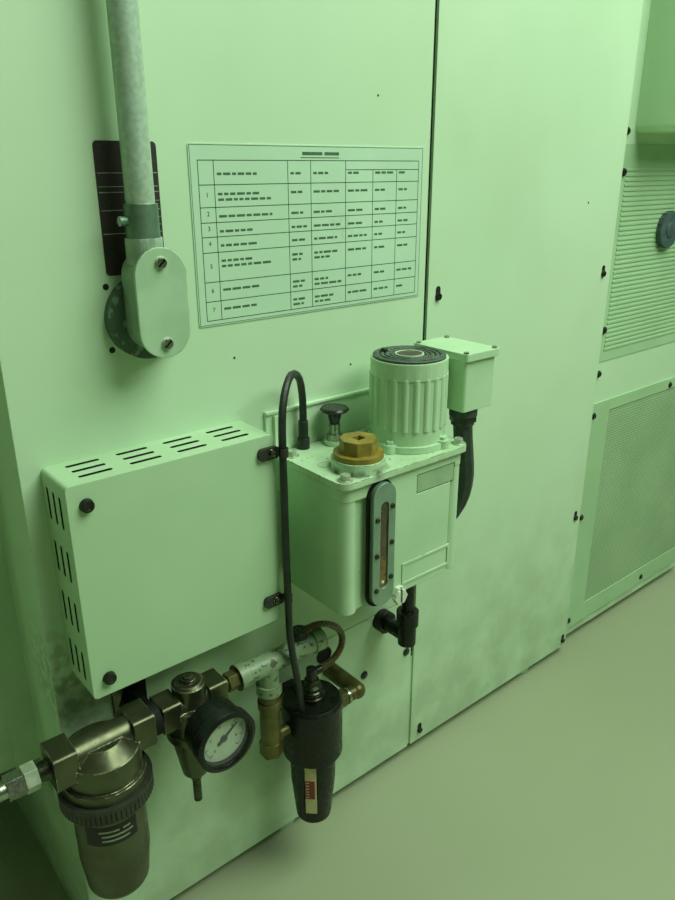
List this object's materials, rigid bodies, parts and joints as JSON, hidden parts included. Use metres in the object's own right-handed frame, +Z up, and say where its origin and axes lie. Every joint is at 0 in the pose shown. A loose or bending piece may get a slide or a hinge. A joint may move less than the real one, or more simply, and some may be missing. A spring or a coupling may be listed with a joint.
{
  "type": "cnc machining center",
  "caption": "Vertical machining centre with splash guard, tool carousel, control pendant, and a service wall with oil unit, air unit and conduit.",
  "frame": {"origin": "centre of the bounding box in plan, at floor level", "axes": "+Z up, -Y the machine's front with the door, +X the service wall with the oil and air units"},
  "size_m": [1.995, 2.4, 2.45],
  "materials": {
    "cream_paint": "satin sheet paint",
    "cast_paint": "semi-gloss paint on castings",
    "grey_paint": "satin",
    "green_paint": "satin",
    "olive_paint": "satin, worn",
    "charcoal": "satin",
    "cast_iron": "machined",
    "steel": "machined",
    "galvanised": "dull zinc",
    "black_metal": "semi-gloss",
    "black_plastic": "matt",
    "yellow_plastic": "worn",
    "red_plastic": "gloss",
    "black_rubber": "matt",
    "brown_hose": "semi-gloss",
    "brass": "dull",
    "pane": "clear"
  },
  "bodies": {
    "machine": {"machine_bed": "cast_iron", "levelling_feet": "steel", "base_frame": "cream_paint", "column": "cast_iron", "axis_motors": "charcoal", "coolant_tank": "grey_paint", "splash_guard": "cream_paint", "front_side_panel": "cream_paint", "rear_side_panel": "cream_paint", "electrical_cabinet": "cream_paint", "cabinet_devices": "grey_paint", "cabinet_vents": "green_paint", "conduit": "galvanised", "conduit_body": "galvanised", "conduit_cover": "galvanised", "vent_box": "cream_paint", "lube_bracket": "cast_paint", "lube_tank": "cast_paint", "lube_lid": "cast_paint", "sight_gauge": "galvanised", "pump_motor": "cast_paint", "junction_box": "cast_paint", "motor_conduit": "black_rubber", "pump_barrel": "steel", "level_cable": "black_rubber", "lube_outlet": "black_metal", "air_inlet": "steel", "filter_head": "olive_paint", "filter_ring": "black_plastic", "filter_bowl": "olive_paint", "regulator": "olive_paint", "pressure_gauge": "black_metal", "air_tee": "cast_paint", "brass_valve": "brass", "lubricator_head": "black_metal", "lubricator_bowl": "black_metal", "lubricator_hose": "brown_hose", "lubricator_elbow": "brass"},
    "saddle": {"saddle": "cast_iron", "x_axis_motor": "charcoal"},
    "table": {"table": "cast_iron"},
    "head": {"spindle_head": "cast_paint", "spindle_motor": "charcoal"},
    "spindle": {"spindle": "steel"},
    "x_screw": {"x_ball_screw": "steel"},
    "y_screw": {"y_ball_screw": "steel"},
    "z_screw": {"z_ball_screw": "steel"},
    "carriage": {"magazine_carriage": "grey_paint"},
    "magazine": {"tool_magazine": "steel"},
    "door": {"guard_door": "cream_paint", "door_window": "pane"},
    "pendant": {"pendant_arm": "grey_paint", "control_panel": "grey_paint"},
    "estop": {"emergency_stop": "red_plastic"},
    "wheel": {"handwheel": "black_plastic"},
    "cab_door": {"cabinet_door": "cream_paint"},
    "cap": {"filler_cap": "yellow_plastic"},
    "pump_rod": {"pump_knob": "black_plastic"},
    "adjuster": {"adjusting_screw": "steel"},
    "pointer": {"gauge_pointer": "black_plastic"}
  },
  "joints": [
    {"name": "saddle_slide", "type": "slide", "parent": "machine", "child": "saddle", "axis": [0, 1, 0], "range_m": [-0.205, 0.205]},
    {"name": "table_slide", "type": "slide", "parent": "saddle", "child": "table", "axis": [1, 0, 0], "range_m": [-0.255, 0.255]},
    {"name": "head_slide", "type": "slide", "parent": "machine", "child": "head", "axis": [0, 0, 1], "range_m": [-0.46, 0]},
    {"name": "x_screw_turn", "type": "hinge", "parent": "saddle", "child": "x_screw", "pos_m": [-0.0705, -0.33, 0.6346], "axis": [1, 0, 0], "range_deg": [-9200, 9200]},
    {"name": "y_screw_turn", "type": "hinge", "parent": "machine", "child": "y_screw", "pos_m": [-0.0705, -0.3, 0.455], "axis": [0, 1, 0], "range_deg": [-7400, 7400]},
    {"name": "z_screw_turn", "type": "hinge", "parent": "machine", "child": "z_screw", "pos_m": [-0.0705, 0.18, 1.5], "axis": [0, 0, 1], "range_deg": [-16600, 40]},
    {"name": "spindle_turn", "type": "hinge", "parent": "head", "child": "spindle", "pos_m": [-0.0705, -0.33, 1.6], "axis": [0, 0, 1], "continuous": true},
    {"name": "carriage_slide", "type": "slide", "parent": "machine", "child": "carriage", "axis": [1, 0, 0], "range_m": [0, 0.33]},
    {"name": "magazine_turn", "type": "hinge", "parent": "carriage", "child": "magazine", "pos_m": [-0.5905, -0.33, 1.25], "axis": [0, 0, 1], "continuous": true},
    {"name": "door_slide", "type": "slide", "parent": "machine", "child": "door", "axis": [1, 0, 0], "range_m": [0, 0.7]},
    {"name": "pendant_turn", "type": "hinge", "parent": "machine", "child": "pendant", "pos_m": [0.6615, -1, 1.95], "axis": [0, 0, 1], "range_deg": [0, 90]},
    {"name": "stop_press", "type": "slide", "parent": "pendant", "child": "estop", "axis": [0, 1, 0], "range_m": [0, 0.0024], "stiffness_N_per_m": 800, "springref_m": -0.002},
    {"name": "wheel_turn", "type": "hinge", "parent": "pendant", "child": "wheel", "pos_m": [0.6015, -1.19, 1.26], "axis": [0, -1, 0], "continuous": true},
    {"name": "cabinet_door_turn", "type": "hinge", "parent": "machine", "child": "cab_door", "pos_m": [0.8255, 1.1873, 1], "axis": [0, 0, -1], "range_deg": [0, 110]},
    {"name": "cap_turn", "type": "hinge", "parent": "machine", "child": "cap", "pos_m": [0.9595, 0.004, 0.63], "axis": [0, 0, 1], "continuous": true},
    {"name": "pump_lift", "type": "slide", "parent": "machine", "child": "pump_rod", "axis": [0, 0, 1], "range_m": [0, 0.02], "stiffness_N_per_m": 120, "springref_m": -0.005},
    {"name": "adjuster_turn", "type": "hinge", "parent": "machine", "child": "adjuster", "pos_m": [0.9165, -0.209, 0.26], "axis": [0, 0, 1], "range_deg": [-1080, 1080]},
    {"name": "pointer_turn", "type": "hinge", "parent": "machine", "child": "pointer", "pos_m": [0.9745, -0.201, 0.351], "axis": [-1, 0, 0], "range_deg": [-189, 81]}
  ],
  "couplings": [
    {"joint": "x_screw_turn", "follows": "table_slide", "rad_per_m": 628.32},
    {"joint": "y_screw_turn", "follows": "saddle_slide", "rad_per_m": 628.32},
    {"joint": "z_screw_turn", "follows": "head_slide", "rad_per_m": 628.32}
  ]
}
